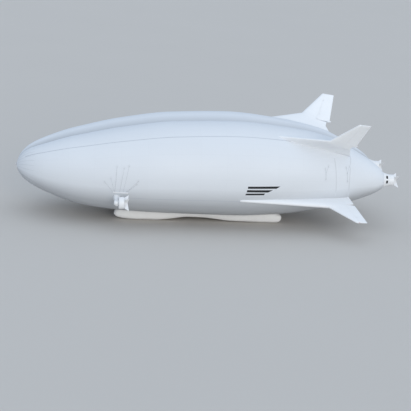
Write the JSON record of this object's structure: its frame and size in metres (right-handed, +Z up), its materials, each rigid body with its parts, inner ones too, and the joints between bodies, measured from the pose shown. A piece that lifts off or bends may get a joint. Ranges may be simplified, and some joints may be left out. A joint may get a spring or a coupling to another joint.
{
  "type": "hybrid airship, 1:10 scale model",
  "caption": "Twin-lobed hybrid airship at 1:10 on inflated landing skids, with hinged fin rudders, tilting forward propulsion pods and ducted propellers.",
  "frame": {"origin": "on the floor under the middle of the model, in the centre plane", "axes": "+X aft along the hull, +Y to starboard, +Z up"},
  "size_m": [9.165, 4.359, 2.7686],
  "materials": {
    "laminate": "bluish white laminated envelope fabric, satin",
    "skid_fabric": "off-white rubberised skid fabric, matt",
    "white_panel": "white painted composite panel, satin",
    "grey_panel": "light grey painted composite panel",
    "dark_metal": "dark grey, matt",
    "cockpit_glass": "tinted cabin glazing",
    "seat_cloth": "dark seat cloth"
  },
  "bodies": {
    "root": {"envelope_port": "laminate", "envelope_starboard": "laminate", "upper_fin_port": "laminate", "upper_fin_starboard": "laminate", "lower_fin_port": "laminate", "lower_fin_starboard": "laminate", "skid_port": "skid_fabric", "skid_starboard": "skid_fabric", "nose_mooring_fitting": "white_panel", "deck_front": "white_panel", "deck_side_port": "white_panel", "deck_side_starboard": "white_panel", "deck_roof": "white_panel", "payload_module": "white_panel", "fuel_module": "white_panel", "pylon_port": "white_panel", "pylon_starboard": "white_panel", "stern_mount_port": "white_panel", "stern_mount_starboard": "white_panel", "nacelle_stern_port": "white_panel", "nacelle_stern_starboard": "white_panel", "duct_stern_port": "white_panel", "duct_stern_starboard": "white_panel", "vanes_stern_port": "white_panel", "vanes_stern_starboard": "white_panel", "deck_floor": "grey_panel", "deck_rear_bulkhead": "grey_panel", "keel_beam": "grey_panel", "instrument_console": "dark_metal", "engine_block_stern_port": "dark_metal", "engine_block_stern_starboard": "dark_metal", "windscreen": "cockpit_glass", "side_window_port": "cockpit_glass", "side_window_starboard": "cockpit_glass", "seat_port": "seat_cloth", "seat_starboard": "seat_cloth"},
    "cabin_door": {"door": "white_panel", "door_window": "cockpit_glass"},
    "upper_rudder_port": {"upper_rudder_port": "laminate"},
    "upper_rudder_starboard": {"upper_rudder_starboard": "laminate"},
    "lower_rudder_port": {"lower_rudder_port": "laminate"},
    "lower_rudder_starboard": {"lower_rudder_starboard": "laminate"},
    "forward_pod_port": {"nacelle_forward_port": "white_panel", "duct_forward_port": "white_panel", "vanes_forward_port": "white_panel", "engine_block_forward_port": "dark_metal"},
    "propeller_forward_port": {"propeller_forward_port": "dark_metal"},
    "forward_pod_starboard": {"nacelle_forward_starboard": "white_panel", "duct_forward_starboard": "white_panel", "vanes_forward_starboard": "white_panel", "engine_block_forward_starboard": "dark_metal"},
    "propeller_forward_starboard": {"propeller_forward_starboard": "dark_metal"},
    "propeller_stern_port": {"propeller_stern_port": "dark_metal"},
    "propeller_stern_starboard": {"propeller_stern_starboard": "dark_metal"}
  },
  "joints": [
    {"name": "door_hinge", "type": "hinge", "parent": "root", "child": "cabin_door", "pos_m": [-1.6105, -0.14, 0.2], "axis": [0, 0, -1], "range_deg": [0, 100]},
    {"name": "upper_rudder_port_hinge", "type": "hinge", "parent": "root", "child": "upper_rudder_port", "pos_m": [3.1065, -1.6555, 2.458], "axis": [0.2922, -0.6006, 0.7442], "range_deg": [-25, 25]},
    {"name": "upper_rudder_starboard_hinge", "type": "hinge", "parent": "root", "child": "upper_rudder_starboard", "pos_m": [3.1065, 1.6555, 2.458], "axis": [0.2922, 0.6006, 0.7442], "range_deg": [-25, 25]},
    {"name": "lower_rudder_port_hinge", "type": "hinge", "parent": "root", "child": "lower_rudder_port", "pos_m": [3.2415, -1.8075, 0.637], "axis": [0.2498, -0.9369, -0.2447], "range_deg": [-25, 25]},
    {"name": "lower_rudder_starboard_hinge", "type": "hinge", "parent": "root", "child": "lower_rudder_starboard", "pos_m": [3.2415, 1.8075, 0.637], "axis": [0.2498, 0.9369, -0.2447], "range_deg": [-25, 25]},
    {"name": "forward_pod_port_tilt", "type": "hinge", "parent": "root", "child": "forward_pod_port", "pos_m": [-2.2305, -1.69, 0.72], "axis": [0, 1, 0], "range_deg": [-20, 20]},
    {"name": "propeller_forward_port_spin", "type": "hinge", "parent": "forward_pod_port", "child": "propeller_forward_port", "pos_m": [-2.1805, -1.69, 0.72], "axis": [1, 0, 0], "continuous": true},
    {"name": "forward_pod_starboard_tilt", "type": "hinge", "parent": "root", "child": "forward_pod_starboard", "pos_m": [-2.2305, 1.69, 0.72], "axis": [0, 1, 0], "range_deg": [-20, 20]},
    {"name": "propeller_forward_starboard_spin", "type": "hinge", "parent": "forward_pod_starboard", "child": "propeller_forward_starboard", "pos_m": [-2.1805, 1.69, 0.72], "axis": [1, 0, 0], "continuous": true},
    {"name": "propeller_stern_port_spin", "type": "hinge", "parent": "root", "child": "propeller_stern_port", "pos_m": [4.3545, -0.67, 1.18], "axis": [1, 0, 0], "continuous": true},
    {"name": "propeller_stern_starboard_spin", "type": "hinge", "parent": "root", "child": "propeller_stern_starboard", "pos_m": [4.3545, 0.67, 1.18], "axis": [1, 0, 0], "continuous": true}
  ]
}
